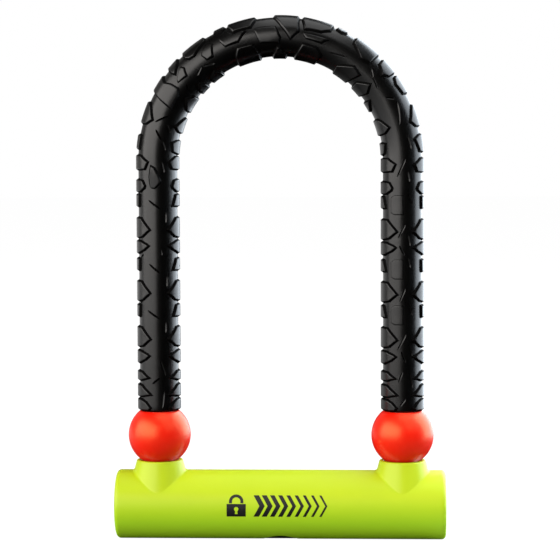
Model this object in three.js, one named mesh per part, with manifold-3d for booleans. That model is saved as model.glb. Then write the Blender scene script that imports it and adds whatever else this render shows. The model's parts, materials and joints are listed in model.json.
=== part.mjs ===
import * as THREE from "three";
import { mergeVertices } from "three/addons/utils/BufferGeometryUtils.js";
import Module from "manifold-3d";

const wasm = await Module();
wasm.setup();

// Driving sizes in millimetres. +Z up, bar along X, origin under the middle of the bar.
const legHalf = 61.3; // middle of the lock to a leg centre-line
const bendHeight = 173.7; // bar axis to the centre of the bend
const shackleRadius = 7;
const sleeveRadius = 10.9;
const treadRelief = 0.9;
const barRadius = 17.4;
const endReach = 21.7; // leg centre-line to the end of the bar
const coverWall = 2.1;
const tubeWall = 3;
const ballRadius = 15.7;
const collarHeight = 22.7; // bar axis to the collar rim
const collarWall = 2.05; // at the rim
const collarSlope = 0.265; // how fast a collar widens on its way down
const bushWall = 1;
const boltRadius = 4.5;
const boltEntry = 4.3; // how far a locked bolt reaches into its leg
const camPinOrbit = 3.6;
const discCount = 6;
const rollPin = 1.5;
const clear = 0.3; // gap between neighbouring pieces
const edge = 0.5; // plain broken edge
const cutter = 1; // how far a cutting shape runs past the face it cuts

// Sizes that follow.
const axisZ = barRadius;
const barHalf = legHalf + endReach;
const tubeOuter = barRadius - coverWall - clear;
const tubeInner = tubeOuter - tubeWall;
const insideRadius = tubeInner - clear; // anything that lies in the tube
const capFlange = 3;
const capSpigot = 3.5;
const barEdge = 2;
const rimEdge = 0.8;
const mouthDepth = 1.5; // depth of the wider mouth of a collar
const mouthStep = 1.1;
const tubeHalf = barHalf - capFlange - clear;
const plugStart = legHalf + shackleRadius + 1.5;
const plugEnd = barHalf - capFlange - capSpigot - clear;
const boreRadius = shackleRadius + 2 * clear + bushWall; // hole in tube and cover for a bush
const mouthRadius = boreRadius + mouthStep;
const collarTop = axisZ + collarHeight;
const ballSeat = Math.sqrt((ballRadius + clear) ** 2 - mouthRadius ** 2);
const ballZ = collarTop + ballSeat;
const ballFlat = Math.sqrt(ballRadius ** 2 - (sleeveRadius - treadRelief) ** 2);
const ballFoot = Math.sqrt(ballRadius ** 2 - (shackleRadius + clear) ** 2);
const sleeveStart = ballZ + ballFlat + clear;
const bendZ = axisZ + bendHeight;
const footTaper = 3;
const footGap = 1.6; // from the tube's floor to the sides of a foot
const footTop = axisZ - Math.sqrt(tubeInner ** 2 - shackleRadius ** 2) + footGap;
const footZ = axisZ - tubeInner + 1.5;

// Lock mechanism heights.
const keyholeRadius = 9.3;
const holeRadius = keyholeRadius + clear;
const bodyRadius = 8.6;
const plugRadius = 6.1;
const frameTop = 3;
const plateTop = frameTop + clear + 0.9;
const coreFloor = plateTop + 0.4;
const discStart = coreFloor + 1.4;
const discThick = 1;
const discPitch = discThick + clear;
const discEnd = discStart + discCount * discPitch;
const tangFloor = discEnd + 0.1;
const coreTop = tangFloor + 1.4;
const camZ = coreTop + 0.4;
const camTop = camZ + 2.4;
const tailThick = 4;
const tailZ = camTop + 0.4;
const boltZ = tailZ + tailThick / 2;
const bodyTop = coreTop + 0.1;
const camRadius = 6.6;
const pinRadius = 1.2;
const slotSide = pinRadius + 0.35;
const pinReach = camPinOrbit * Math.SQRT1_2; // pin offset at either end of the quarter turn
const boltTravel = 2 * pinReach;
const notchDepth = boltEntry + clear;
const boltTip = legHalf - shackleRadius + boltEntry - boltTravel;
const notchHalf = boltRadius + 2 * clear;
const housingHalf = 22;
const housingPinInset = 5;
const housingPinZ = axisZ - 0.6 * insideRadius;
const guideWidth = 5;
const guideStart = boltTip - guideWidth - 2.5;
const boltEdge = 0.8;
const tailWide = camPinOrbit + slotSide + 1.75;
const tailNear = pinReach + slotSide + 2.1;
const tailFar = tailNear + 4;
const shutterHalf = 2.7;
const shutterSide = 3.8;
const windowHalf = 1.9;
const shutterTravel = windowHalf + shutterHalf;

// Colours and surfaces.
const lime = { color: 0xb5d41f, roughness: 0.45, metalness: 0 };
const orange = { color: 0xf4330d, roughness: 0.4, metalness: 0 };
const rubber = { color: 0x1b1a1a, roughness: 0.6, metalness: 0 };
const blackPlastic = { color: 0x141414, roughness: 0.5, metalness: 0 };
const hardSteel = { color: 0x8f9296, roughness: 0.32, metalness: 1 };
const brightSteel = { color: 0xb9bcc0, roughness: 0.25, metalness: 1 };
const brass = { color: 0xb9954a, roughness: 0.35, metalness: 1 };
const zinc = { color: 0x9b9da0, roughness: 0.5, metalness: 1 };

function solid(geometry) {
  const plain = new THREE.BufferGeometry();
  plain.setAttribute("position", geometry.getAttribute("position").clone());
  if (geometry.index) plain.setIndex(geometry.index.clone());
  const welded = mergeVertices(plain, 1e-4);
  const place = welded.getAttribute("position").array;
  const corners = welded.index.array;
  const kept = [];
  let volume = 0;
  const a = new THREE.Vector3();
  const b = new THREE.Vector3();
  const c = new THREE.Vector3();
  for (let i = 0; i < corners.length; i += 3) {
    const [p, q, r] = [corners[i], corners[i + 1], corners[i + 2]];
    if (p === q || q === r || p === r) continue;
    kept.push([p, q, r]);
    a.fromArray(place, 3 * p);
    b.fromArray(place, 3 * q);
    c.fromArray(place, 3 * r);
    volume += a.dot(b.cross(c));
  }
  const triVerts = kept.flatMap(([p, q, r]) => (volume < 0 ? [p, r, q] : [p, q, r]));
  return new wasm.Manifold(
    new wasm.Mesh({
      numProp: 3,
      vertProperties: new Float32Array(place),
      triVerts: new Uint32Array(triVerts),
    }),
  );
}

// A turned piece: [radius, height] points along the named axis.
function turned(points, axis = "z", steps = 32) {
  const profile = points.map(([radius, height]) => new THREE.Vector2(radius, height));
  const geometry = new THREE.LatheGeometry(profile, steps);
  if (axis === "z") geometry.rotateX(Math.PI / 2);
  if (axis === "x") geometry.rotateZ(-Math.PI / 2);
  return solid(geometry);
}

function rod(radius, from, to, axis = "z", steps = 32) {
  return turned([[0, from], [radius, from], [radius, to], [0, to]], axis, steps);
}

function ring(inner, outer, from, to, axis = "z", steps = 32) {
  const points = [[inner, from], [outer, from], [outer, to], [inner, to], [inner, from]];
  return turned(points, axis, steps);
}

function block(x0, x1, y0, y1, z0, z1) {
  const geometry = new THREE.BoxGeometry(x1 - x0, y1 - y0, z1 - z0);
  geometry.translate((x0 + x1) / 2, (y0 + y1) / 2, (z0 + z1) / 2);
  return solid(geometry);
}

// The bent line of the shackle: straight leg, half circle, straight leg.
class BentLine extends THREE.Curve {
  constructor(startZ, bendSteps) {
    super();
    this.stations = [{ point: [-legHalf, startZ], turn: 0 }];
    for (let i = 0; i <= bendSteps; i += 1) {
      const turn = (Math.PI * i) / bendSteps;
      const point = [-legHalf * Math.cos(turn), bendZ + legHalf * Math.sin(turn)];
      this.stations.push({ point, turn });
    }
    this.stations.push({ point: [legHalf, startZ], turn: Math.PI });
  }

  at(u) {
    return this.stations[Math.round(u * (this.stations.length - 1))];
  }

  getPointAt(u, target = new THREE.Vector3()) {
    const [x, z] = this.at(u).point;
    return target.set(x, 0, z);
  }

  getTangentAt(u, target = new THREE.Vector3()) {
    const { turn } = this.at(u);
    return target.set(Math.sin(turn), 0, Math.cos(turn));
  }
}

function circle(radius, steps, PathClass = THREE.Shape) {
  const points = [];
  for (let i = 0; i < steps; i += 1) {
    const turn = (2 * Math.PI * i) / steps;
    points.push(new THREE.Vector2(radius * Math.cos(turn), radius * Math.sin(turn)));
  }
  return new PathClass(points);
}

function bentTube(outer, inner, startZ, steps, bendSteps) {
  const section = circle(outer, steps);
  if (inner > 0) section.holes.push(circle(inner, steps, THREE.Path));
  const path = new BentLine(startZ, bendSteps);
  const settings = { extrudePath: path, steps: path.stations.length - 1, bevelEnabled: false };
  return solid(new THREE.ExtrudeGeometry(section, settings));
}

const sides = [-1, 1];
const sideName = (side) => (side < 0 ? "left" : "right");

function makeShackle() {
  let piece = bentTube(shackleRadius, 0, footTop, 24, 22);
  for (const side of sides) {
    const tip = shackleRadius - footTaper;
    const points = [[0, footZ], [tip, footZ], [shackleRadius, footTop + 0.01], [0, footTop + 0.01]];
    const foot = turned(points, "z", 24).translate([side * legHalf, 0, 0]);
    piece = piece.add(foot);
    const face = side * (legHalf - shackleRadius);
    const floor = face + side * notchDepth;
    const mouth = face - side * cutter;
    const reach = shackleRadius + cutter;
    const [x0, x1] = [Math.min(mouth, floor), Math.max(mouth, floor)];
    piece = piece.subtract(block(x0, x1, -reach, reach, boltZ - notchHalf, boltZ + notchHalf));
  }
  return piece;
}

function makeSleeve() {
  return bentTube(sleeveRadius, shackleRadius + clear, sleeveStart, 24, 22);
}

function makeBall(side) {
  const bore = shackleRadius + clear;
  const points = [[bore, ballFlat]];
  const top = Math.asin(ballFlat / ballRadius);
  const low = -Math.asin(ballFoot / ballRadius);
  const steps = 14;
  for (let i = 0; i <= steps; i += 1) {
    const lift = top + ((low - top) * i) / steps;
    points.push([ballRadius * Math.cos(lift), ballRadius * Math.sin(lift)]);
  }
  points[points.length - 1] = [bore, -ballFoot];
  points.push([bore, ballFlat]);
  return turned(points, "z", 28).translate([side * legHalf, 0, ballZ]);
}

function roundedBar(radius, half, round) {
  const points = [[0, -half]];
  for (const end of [-1, 1]) {
    for (let i = 0; i <= 3; i += 1) {
      const turn = (Math.PI / 6) * (end < 0 ? i : 3 - i);
      const r = radius - round + round * Math.sin(turn);
      points.push([r, end * (half - round + round * Math.cos(turn))]);
    }
  }
  points.push([0, half]);
  return turned(points, "x", 48).translate([0, 0, axisZ]);
}

function makeCover() {
  const rim = mouthRadius + collarWall;
  const shoulder = collarTop - rimEdge;
  const base = axisZ + 0.35 * barRadius; // low enough to meet the bar all round
  let piece = roundedBar(barRadius, barHalf, barEdge);
  for (const side of sides) {
    const points = [[0, base], [rim + collarSlope * (shoulder - base), base], [rim, shoulder]];
    points.push([rim - rimEdge, collarTop], [0, collarTop]);
    piece = piece.add(turned(points).translate([side * legHalf, 0, 0]));
  }
  const bore = tubeOuter + clear;
  const through = rod(bore, -barHalf - cutter, barHalf + cutter, "x", 48);
  piece = piece.subtract(through.translate([0, 0, axisZ]));
  for (const side of sides) {
    const well = rod(boreRadius, axisZ, collarTop + cutter);
    const mouth = rod(mouthRadius, collarTop - mouthDepth, collarTop + cutter);
    piece = piece.subtract(well.add(mouth).translate([side * legHalf, 0, 0]));
  }
  return piece.subtract(rod(holeRadius, -cutter, axisZ));
}

function makeTube() {
  let piece = ring(tubeInner, tubeOuter, -tubeHalf, tubeHalf, "x", 40).translate([0, 0, axisZ]);
  for (const side of sides) {
    const well = rod(boreRadius, axisZ, collarTop).translate([side * legHalf, 0, 0]);
    piece = piece.subtract(well);
    piece = piece.subtract(crossPin(rollPin + clear, plugPinX(side), axisZ, barRadius));
    piece = piece.subtract(crossPin(rollPin + clear, housingPinX(side), housingPinZ, barRadius));
  }
  return piece.subtract(rod(holeRadius, -cutter, axisZ));
}

const plugPinX = (side) => (side * (plugStart + plugEnd)) / 2;
const housingPinX = (side) => side * (housingHalf - housingPinInset);

function crossPin(radius, x, z, half) {
  return rod(radius, -half, half, "y", 16).translate([x, 0, z]);
}

// Half the length of a cross pin whose ends stay inside the tube's outer face.
function pinHalf(z) {
  return Math.sqrt(tubeOuter ** 2 - (Math.abs(z - axisZ) + rollPin) ** 2);
}

function makeBush(side) {
  const bore = shackleRadius + clear;
  const top = collarTop - mouthDepth - clear;
  return ring(bore, bore + bushWall, axisZ + tubeInner - 2, top).translate([side * legHalf, 0, 0]);
}

function alongX(points, side) {
  const piece = turned(points.map(([radius, x]) => [radius, side * x]), "x", 40);
  return piece.translate([0, 0, axisZ]);
}

function makeEndCap(side) {
  const inner = barHalf - capFlange - capSpigot;
  const flange = barHalf - capFlange;
  const points = [[0, inner], [insideRadius, inner], [insideRadius, flange], [tubeOuter, flange]];
  points.push([tubeOuter, barHalf - edge], [tubeOuter - edge, barHalf], [0, barHalf]);
  return alongX(points, side);
}

function makeEndPlug(side) {
  const points = [[0, plugStart], [insideRadius - edge, plugStart]];
  points.push([insideRadius, plugStart + edge]);
  points.push([insideRadius, plugEnd], [0, plugEnd]);
  const piece = alongX(points, side);
  return piece.subtract(crossPin(rollPin + clear, plugPinX(side), axisZ, barRadius));
}

function housingBlank(z0, z1) {
  const bar = rod(insideRadius, -housingHalf, housingHalf, "x", 40).translate([0, 0, axisZ]);
  const reach = housingHalf + cutter;
  return bar.intersect(block(-reach, reach, -barRadius, barRadius, z0, z1));
}

function boltBore() {
  const reach = housingHalf + cutter;
  return rod(boltRadius + clear, -reach, reach, "x").translate([0, 0, boltZ]);
}

function makeHousingLower() {
  let piece = housingBlank(0, camTop);
  piece = piece.subtract(rod(bodyRadius + clear, 0, bodyTop + 0.2));
  piece = piece.subtract(rod(camRadius + clear, bodyTop, camTop + cutter));
  piece = piece.subtract(boltBore());
  for (const side of sides) {
    const hole = crossPin(rollPin + clear, housingPinX(side), housingPinZ, barRadius);
    piece = piece.subtract(hole);
  }
  return piece;
}

function makeHousingUpper() {
  const reach = tailFar + boltTravel + edge;
  const wide = tailWide + clear;
  const cavity = block(-reach, reach, -wide, wide, 0, tailZ + tailThick + clear);
  return housingBlank(camTop + clear, 2 * axisZ).subtract(cavity).subtract(boltBore());
}

function makeBolt(side) {
  const shank = turned(
    [[0, tailFar - 2], [boltRadius, tailFar - 2], [boltRadius, boltTip - boltEdge],
      [boltRadius - boltEdge, boltTip], [0, boltTip]].map(([radius, x]) => [radius, side * x]),
    "x", 24,
  ).translate([0, 0, boltZ]);
  const span = (a, b) => [Math.min(side * a, side * b), Math.max(side * a, side * b)];
  const [x0, x1] = span(-tailNear, tailFar);
  const [y0, y1] = side < 0 ? [0.35, tailWide] : [-tailWide, -0.35];
  const tail = block(x0, x1, y0, y1, tailZ, tailZ + tailThick);
  const [s0, s1] = span(-pinReach - slotSide, -pinReach + slotSide);
  const inner = pinReach - slotSide;
  const outer = camPinOrbit + slotSide;
  const [t0, t1] = side < 0 ? [inner, outer] : [-outer, -inner];
  const slot = block(s0, s1, t0, t1, tailZ - cutter, tailZ + tailThick + cutter);
  return shank.add(tail).subtract(slot);
}

function makeBoltGuide(side) {
  const guide = rod(insideRadius, side * guideStart, side * (guideStart + guideWidth), "x", 40);
  return guide.translate([0, 0, axisZ]).subtract(
    rod(boltRadius + clear, -barHalf, barHalf, "x").translate([0, 0, boltZ]),
  );
}

function keySlot(z0, z1) {
  return block(-1.5, 1.5, -3.1, 3.1, z0, z1);
}

function makeCylinderBody() {
  const groove = block(plugRadius, plugRadius + 1.2, -0.9, 0.9, discStart - 0.5, discEnd + 0.4);
  return ring(plugRadius + clear, bodyRadius, plateTop + clear, bodyTop).subtract(groove);
}

function makeCorePlug() {
  const inner = plugRadius - 1.2;
  const points = [[0, coreFloor], [plugRadius, coreFloor], [plugRadius, coreTop]];
  points.push([inner, coreTop], [inner, discStart - 0.2], [0, discStart - 0.2]);
  const sidebarSlot = block(inner - 0.4, plugRadius + 1, -0.85, 0.85, discStart - 0.1, discEnd);
  const tangSlot = block(-plugRadius - 1, plugRadius + 1, -1.8, 1.8, tangFloor, coreTop + 1);
  return turned(points)
    .subtract(keySlot(0, discStart))
    .subtract(sidebarSlot)
    .subtract(tangSlot);
}

function makeDisc(index) {
  const z = discStart + index * discPitch;
  const radius = plugRadius - 1.5;
  const notch = block(radius - 0.85, radius + 1, -0.85, 0.85, z - 1, z + discThick + 1);
  return rod(radius, z, z + discThick, "z", 28).subtract(keySlot(z - 1, z + discThick + 1)).subtract(notch);
}

function makeSidebar() {
  const inner = plugRadius - 2.05;
  return block(inner, plugRadius - 0.15, -0.55, 0.55, discStart + 0.1, discEnd - 0.2);
}

function makeCam() {
  let piece = rod(camRadius, camZ, camTop);
  piece = piece.add(block(-plugRadius + 0.5, plugRadius - 0.5, -1.5, 1.5, tangFloor + 0.2, camZ + 1));
  for (const side of sides) {
    const pin = rod(pinRadius, camTop - 1, tailZ + tailThick - 0.4, "z", 16);
    piece = piece.add(pin.translate([-side * pinReach, -side * pinReach, 0]));
  }
  return piece;
}

function makeDrillPlate() {
  return rod(keyholeRadius - 0.1, frameTop + clear, plateTop).subtract(keySlot(0, plateTop + 1));
}

function makeKeyholeFrame() {
  const outside = rod(barRadius - 0.2, -barHalf, barHalf, "x", 64).translate([0, 0, axisZ]);
  const blank = rod(keyholeRadius, 0, frameTop).intersect(outside);
  const pocket = block(
    -shutterHalf - clear, shutterHalf + shutterTravel + clear,
    -shutterSide - clear, shutterSide + clear, frameTop - 1.6, frameTop + 1,
  );
  const window = block(-windowHalf, windowHalf, -shutterSide + 0.6, shutterSide - 0.6, -1, frameTop);
  return blank.subtract(pocket).subtract(window);
}

function makeShutter() {
  const [x, y] = [shutterHalf, shutterSide];
  return block(-x, x, -y, y, frameTop - 1.3, frameTop - 0.3);
}

const group = new THREE.Group();
group.name = "u_lock";

function place(name, piece, look) {
  const { vertProperties, triVerts } = piece.getMesh();
  const geometry = new THREE.BufferGeometry();
  geometry.setAttribute("position", new THREE.BufferAttribute(new Float32Array(vertProperties), 3));
  geometry.setIndex(new THREE.BufferAttribute(new Uint32Array(triVerts), 1));
  geometry.computeVertexNormals();
  const mesh = new THREE.Mesh(geometry, new THREE.MeshStandardMaterial(look));
  mesh.name = name;
  group.add(mesh);
}

place("shackle", makeShackle(), hardSteel);
place("tread_sleeve", makeSleeve(), rubber);
place("bar_cover", makeCover(), lime);
place("lock_tube", makeTube(), hardSteel);
for (const side of sides) {
  const end = sideName(side);
  place(`ball_${end}`, makeBall(side), orange);
  place(`bush_${end}`, makeBush(side), blackPlastic);
  place(`end_cap_${end}`, makeEndCap(side), lime);
  place(`end_plug_${end}`, makeEndPlug(side), hardSteel);
  place(`plug_pin_${end}`, crossPin(rollPin, plugPinX(side), axisZ, pinHalf(axisZ)), brightSteel);
  const housingPin = crossPin(rollPin, housingPinX(side), housingPinZ, pinHalf(housingPinZ));
  place(`housing_pin_${end}`, housingPin, brightSteel);
  place(`bolt_${end}`, makeBolt(side), brightSteel);
  place(`bolt_guide_${end}`, makeBoltGuide(side), zinc);
}
place("housing_lower", makeHousingLower(), zinc);
place("housing_upper", makeHousingUpper(), zinc);
place("cylinder_body", makeCylinderBody(), brass);
place("core_plug", makeCorePlug(), brass);
for (let i = 0; i < discCount; i += 1) place(`disc_${i + 1}`, makeDisc(i), brass);
place("sidebar", makeSidebar(), brightSteel);
place("drive_cam", makeCam(), hardSteel);
place("anti_drill_plate", makeDrillPlate(), hardSteel);
place("keyhole_frame", makeKeyholeFrame(), blackPlastic);
place("keyhole_shutter", makeShutter(), blackPlastic);

export default group;
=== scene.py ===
import json
import math
import bmesh
import bpy
from mathutils import Matrix, Vector
from mathutils.geometry import delaunay_2d_cdt


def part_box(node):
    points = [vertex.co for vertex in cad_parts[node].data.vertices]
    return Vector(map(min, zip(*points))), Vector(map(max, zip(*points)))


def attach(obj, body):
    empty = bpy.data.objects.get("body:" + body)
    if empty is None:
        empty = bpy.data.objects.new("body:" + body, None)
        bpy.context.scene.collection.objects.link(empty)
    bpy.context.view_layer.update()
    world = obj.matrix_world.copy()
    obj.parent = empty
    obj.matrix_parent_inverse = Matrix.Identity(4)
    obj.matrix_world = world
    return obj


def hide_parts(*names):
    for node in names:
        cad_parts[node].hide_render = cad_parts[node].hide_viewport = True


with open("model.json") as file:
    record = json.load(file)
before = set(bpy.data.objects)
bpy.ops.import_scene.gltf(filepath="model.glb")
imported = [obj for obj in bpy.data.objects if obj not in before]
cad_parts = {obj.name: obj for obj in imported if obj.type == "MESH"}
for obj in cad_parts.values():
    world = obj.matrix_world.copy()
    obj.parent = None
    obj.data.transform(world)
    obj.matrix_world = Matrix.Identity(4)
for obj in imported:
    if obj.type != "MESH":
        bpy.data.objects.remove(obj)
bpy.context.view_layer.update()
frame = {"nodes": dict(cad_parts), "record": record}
scene = bpy.context.scene
mm = 0.001

# Sizes taken from the frame, in metres.
sleeve_low, sleeve_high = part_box("tread_sleeve")
rod_low, rod_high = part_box("shackle")
ball_low, ball_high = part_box("ball_right")
cover_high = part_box("bar_cover")[1]
bush_low, bush_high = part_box("bush_right")
keyhole_low, keyhole_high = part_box("keyhole_frame")
cap_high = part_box("end_cap_right")[1]
bolt_low, bolt_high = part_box("bolt_right")

leg_half = (ball_low.x + ball_high.x) / 2
rod_radius = rod_high.y
clear = 0.3 * mm
bore = rod_radius + clear
tread_radius = sleeve_high.y
block_height = 1.2 * mm
body_radius = tread_radius - block_height
sleeve_start = sleeve_low.z
bend_height = sleeve_high.z - leg_half - tread_radius
leg_length = bend_height - sleeve_start
sleeve_length = 2 * leg_length + math.pi * leg_half
ball_radius = (ball_high.x - ball_low.x) / 2
ball_height = ball_low.z + math.sqrt(ball_radius**2 - bore**2)
bar_radius = cover_high.y
bar_axis = bar_radius
bar_half = cover_high.x
collar_top = cover_high.z
collar_bore = (bush_high.x - bush_low.x) / 2 + clear
collar_mouth = collar_bore + 1.1 * mm
keyhole_radius = (keyhole_high.x - keyhole_low.x) / 2
cap_radius = cap_high.y


# ---------------------------------------------------------------- node expressions


class Term:
    """A node socket that is used like a number or a vector in an expression."""

    def __init__(self, tree, socket):
        self.tree = tree
        self.socket = socket

    def maths(self, operation, *others):
        return self.tree.math(operation, self, *others)

    def __add__(self, other):
        return self.maths("ADD", other)

    def __radd__(self, other):
        return self.tree.math("ADD", other, self)

    def __sub__(self, other):
        return self.maths("SUBTRACT", other)

    def __rsub__(self, other):
        return self.tree.math("SUBTRACT", other, self)

    def __mul__(self, other):
        return self.maths("MULTIPLY", other)

    def __rmul__(self, other):
        return self.tree.math("MULTIPLY", other, self)

    def __truediv__(self, other):
        return self.maths("DIVIDE", other)

    def __rtruediv__(self, other):
        return self.tree.math("DIVIDE", other, self)

    def __neg__(self):
        return self.maths("MULTIPLY", -1.0)

    def clamped(self, low=0.0, high=1.0):
        return self.maths("MAXIMUM", low).maths("MINIMUM", high)


class Tree:
    """A node tree with one call for any node and one for any sum."""

    def __init__(self, tree):
        self.tree = tree

    def connect(self, socket, value):
        if isinstance(value, Term):
            self.tree.links.new(value.socket, socket)
        else:
            socket.default_value = value

    def node(self, kind, sockets=None, **settings):
        made = self.tree.nodes.new(kind)
        for name, value in settings.items():
            setattr(made, name, value)
        for name, value in (sockets or {}).items():
            self.connect(made.inputs[name], value)
        return made

    def take(self, kind, output, sockets=None, **settings):
        return Term(self, self.node(kind, sockets, **settings).outputs[output])

    def math(self, operation, *values):
        sockets = dict(enumerate(values))
        return self.take("ShaderNodeMath", 0, sockets, operation=operation)

    def vector(self, operation, *values, output=0):
        sockets = dict(enumerate(values))
        return self.take("ShaderNodeVectorMath", output, sockets, operation=operation)

    def mix(self, factor, first, second):
        sockets = {0: factor, 6: first, 7: second}
        return self.take("ShaderNodeMix", 2, sockets, data_type="RGBA")

    def combine(self, x, y, z):
        return self.take("ShaderNodeCombineXYZ", 0, {0: x, 1: y, 2: z})

    def split(self, value):
        made = self.node("ShaderNodeSeparateXYZ", {0: value})
        return [Term(self, socket) for socket in made.outputs]


# ---------------------------------------------------------------- materials


def empty_tree(owner):
    """The node tree of a material or a world, emptied."""
    owner.use_nodes = True
    owner.node_tree.nodes.clear()
    return Tree(owner.node_tree)


def new_material(name):
    material = bpy.data.materials.new(name)
    return material, empty_tree(material)


def finish_material(tree, sockets):
    """Ends a material's tree in one shader with the given values."""
    shader = tree.take("ShaderNodeBsdfPrincipled", 0, sockets)
    tree.node("ShaderNodeOutputMaterial", {"Surface": shader})


def noise(tree, place, scale, detail=2.0, roughness=0.5):
    sockets = {"Vector": place, "Scale": scale, "Detail": detail, "Roughness": roughness}
    return tree.take("ShaderNodeTexNoise", 0, sockets)


def stretched(tree, place, x, y, z):
    return tree.vector("MULTIPLY", place, (x, y, z))


def object_place(tree):
    return tree.take("ShaderNodeTexCoord", "Object")


def ray_kind(tree, name):
    return tree.take("ShaderNodeLightPath", name)


def bump(tree, height, strength, distance):
    sockets = {"Height": height, "Strength": strength, "Distance": distance}
    return tree.take("ShaderNodeBump", 0, sockets)


def moulded_plastic(name, colours, roughness, shine, glint=(1, 1, 1), grain=0.06, painted_shade_tint=None):
    """Satin moulded plastic: faint flow marks in the colour, a fine eroded grain, a few rub marks.
    From just above the bar's axis down, the colour turns towards a greener tint: painted shade on
    the lower side."""
    material, tree = new_material(name)
    place = object_place(tree)
    flow = noise(tree, stretched(tree, place, 1.0, 1.0, 1.6), 38.0, 3.0)
    fine = noise(tree, place, 2600.0, 2.0, 0.6)
    rub = noise(tree, stretched(tree, place, 0.25, 1.0, 2.2), 420.0, 4.0, 0.65)
    rubbed = ((rub - 0.62) * 6.0).clamped()
    main, shade = ((*colour, 1) for colour in colours)
    tone = tree.mix((flow - 0.35).clamped() * 1.6, main, shade)
    if painted_shade_tint:
        # Painted shade: below this height the colour is tinted greener, as the bar's lower side
        # looks in shade.
        height = (tree.split(place)[2] - bar_axis) / bar_radius
        tone = tree.mix(((0.35 - height) * 1.3).clamped(), tone, (*painted_shade_tint, 1))
    finish_material(tree, {
        "Base Color": tone,
        "Roughness": roughness + (flow - 0.5) * 0.08 + rubbed * 0.05,
        "Specular IOR Level": shine,
        "Specular Tint": (*glint, 1),
        "Normal": bump(tree, fine, grain, 0.04 * mm),
    })
    return material


def tread_rubber(name, roughness, shine):
    """Black rubber, a little chalky on its faces."""
    material, tree = new_material(name)
    place = object_place(tree)
    bloom = noise(tree, place, 90.0, 4.0, 0.6)
    grain = noise(tree, place, 1700.0, 3.0, 0.65)
    scuff = noise(tree, stretched(tree, place, 1.0, 1.0, 0.3), 600.0, 4.0, 0.7)
    tone = tree.mix(bloom, (0.0006, 0.0005, 0.0005, 1), (0.0014, 0.0013, 0.0012, 1))
    worn = ((scuff - 0.6) * 5.0).clamped() * 0.25
    tone = tree.mix(worn, tone, (0.006, 0.0055, 0.005, 1))
    finish_material(tree, {
        "Base Color": tone,
        "Roughness": roughness + (bloom - 0.5) * 0.12 + (grain - 0.5) * 0.1,
        "Specular IOR Level": shine,
        "Normal": bump(tree, grain + bloom * 0.5, 0.14, 0.05 * mm),
    })
    return material


def turned_metal(name, colour, dark, roughness, lines=(900.0, 900.0, 5200.0)):
    """Metal with the fine lines of a turning or grinding tool and a little staining."""
    material, tree = new_material(name)
    place = object_place(tree)
    marks = noise(tree, stretched(tree, place, *lines), 1.0, 3.0, 0.6)
    stain = noise(tree, place, 130.0, 4.0, 0.6)
    finish_material(tree, {
        "Base Color": tree.mix(stain, (*colour, 1), (*dark, 1)),
        "Roughness": roughness + (marks - 0.5) * 0.18 + (stain - 0.5) * 0.1,
        "Metallic": 1.0,
        "Normal": bump(tree, marks, 0.16, 0.02 * mm),
    })
    return material


def cast_metal(name):
    """Die-cast zinc: dull grey, finely pebbled, with faint flow stains."""
    material, tree = new_material(name)
    place = object_place(tree)
    pebble = noise(tree, place, 1500.0, 3.0, 0.7)
    flow = noise(tree, stretched(tree, place, 1.0, 1.0, 2.5), 110.0, 4.0)
    finish_material(tree, {
        "Base Color": tree.mix(flow, (0.42, 0.425, 0.43, 1), (0.29, 0.295, 0.305, 1)),
        "Roughness": 0.5 + (pebble - 0.5) * 0.25,
        "Metallic": 1.0,
        "Normal": bump(tree, pebble, 0.3, 0.05 * mm),
    })
    return material


def print_ink(name):
    """Screen-printed black ink with tiny pinholes."""
    material, tree = new_material(name)
    place = object_place(tree)
    mesh_grain = noise(tree, place, 3200.0, 2.0, 0.6)
    thin = ((mesh_grain - 0.66) * 8.0).clamped()
    finish_material(tree, {
        "Base Color": tree.mix(thin, (0.006, 0.006, 0.006, 1), (0.03, 0.033, 0.012, 1)),
        "Roughness": 0.42 + (mesh_grain - 0.5) * 0.2,
    })
    return material


limes = (0.545, 0.705, 0.010), (0.505, 0.675, 0.008)
oranges = (0.95, 0.005, 0.001), (0.92, 0.003, 0.001)
blacks = (0.012, 0.012, 0.012), (0.008, 0.008, 0.008)
# The lime's greener tint for its lower side is painted shade.
lime = moulded_plastic("lime satin plastic", limes, 0.4, 0.38, painted_shade_tint=(0.43, 0.765, 0.014))
orange = moulded_plastic("orange satin plastic", oranges, 0.37, 0.75, glint=(1, 1, 0.38))
black = moulded_plastic("black moulded plastic", blacks, 0.45, 0.4, grain=0.2)
rubber = tread_rubber("tread rubber", 0.30, 0.45)
# The same rubber with almost no reflection, put on block walls and in grooves as painted shade.
painted_shade_rubber = tread_rubber("painted shade rubber", 0.7, 0.06)
ink = print_ink("black printing ink")
plated = turned_metal("plated hardened steel", (0.50, 0.51, 0.53), (0.36, 0.37, 0.39), 0.32)
bright = turned_metal("ground steel", (0.62, 0.63, 0.65), (0.5, 0.51, 0.53), 0.26)
brass = turned_metal("turned brass", (0.72, 0.50, 0.19), (0.56, 0.37, 0.12), 0.32)
zinc = cast_metal("die-cast zinc")


# ---------------------------------------------------------------- mesh helpers


def add_object(name, data):
    made = bpy.data.objects.new(name, data)
    scene.collection.objects.link(made)
    return made


def finish_mesh(name, bm, material, weld=1e-6, smooth=math.radians(38)):
    bmesh.ops.remove_doubles(bm, verts=bm.verts, dist=weld)
    bmesh.ops.dissolve_degenerate(bm, edges=bm.edges, dist=weld)
    mesh = bpy.data.meshes.new(name)
    bm.to_mesh(mesh)
    bm.free()
    mesh.materials.append(material)
    mesh.shade_smooth()
    mesh.set_sharp_from_angle(angle=smooth)
    return add_object(name, mesh)


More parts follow.
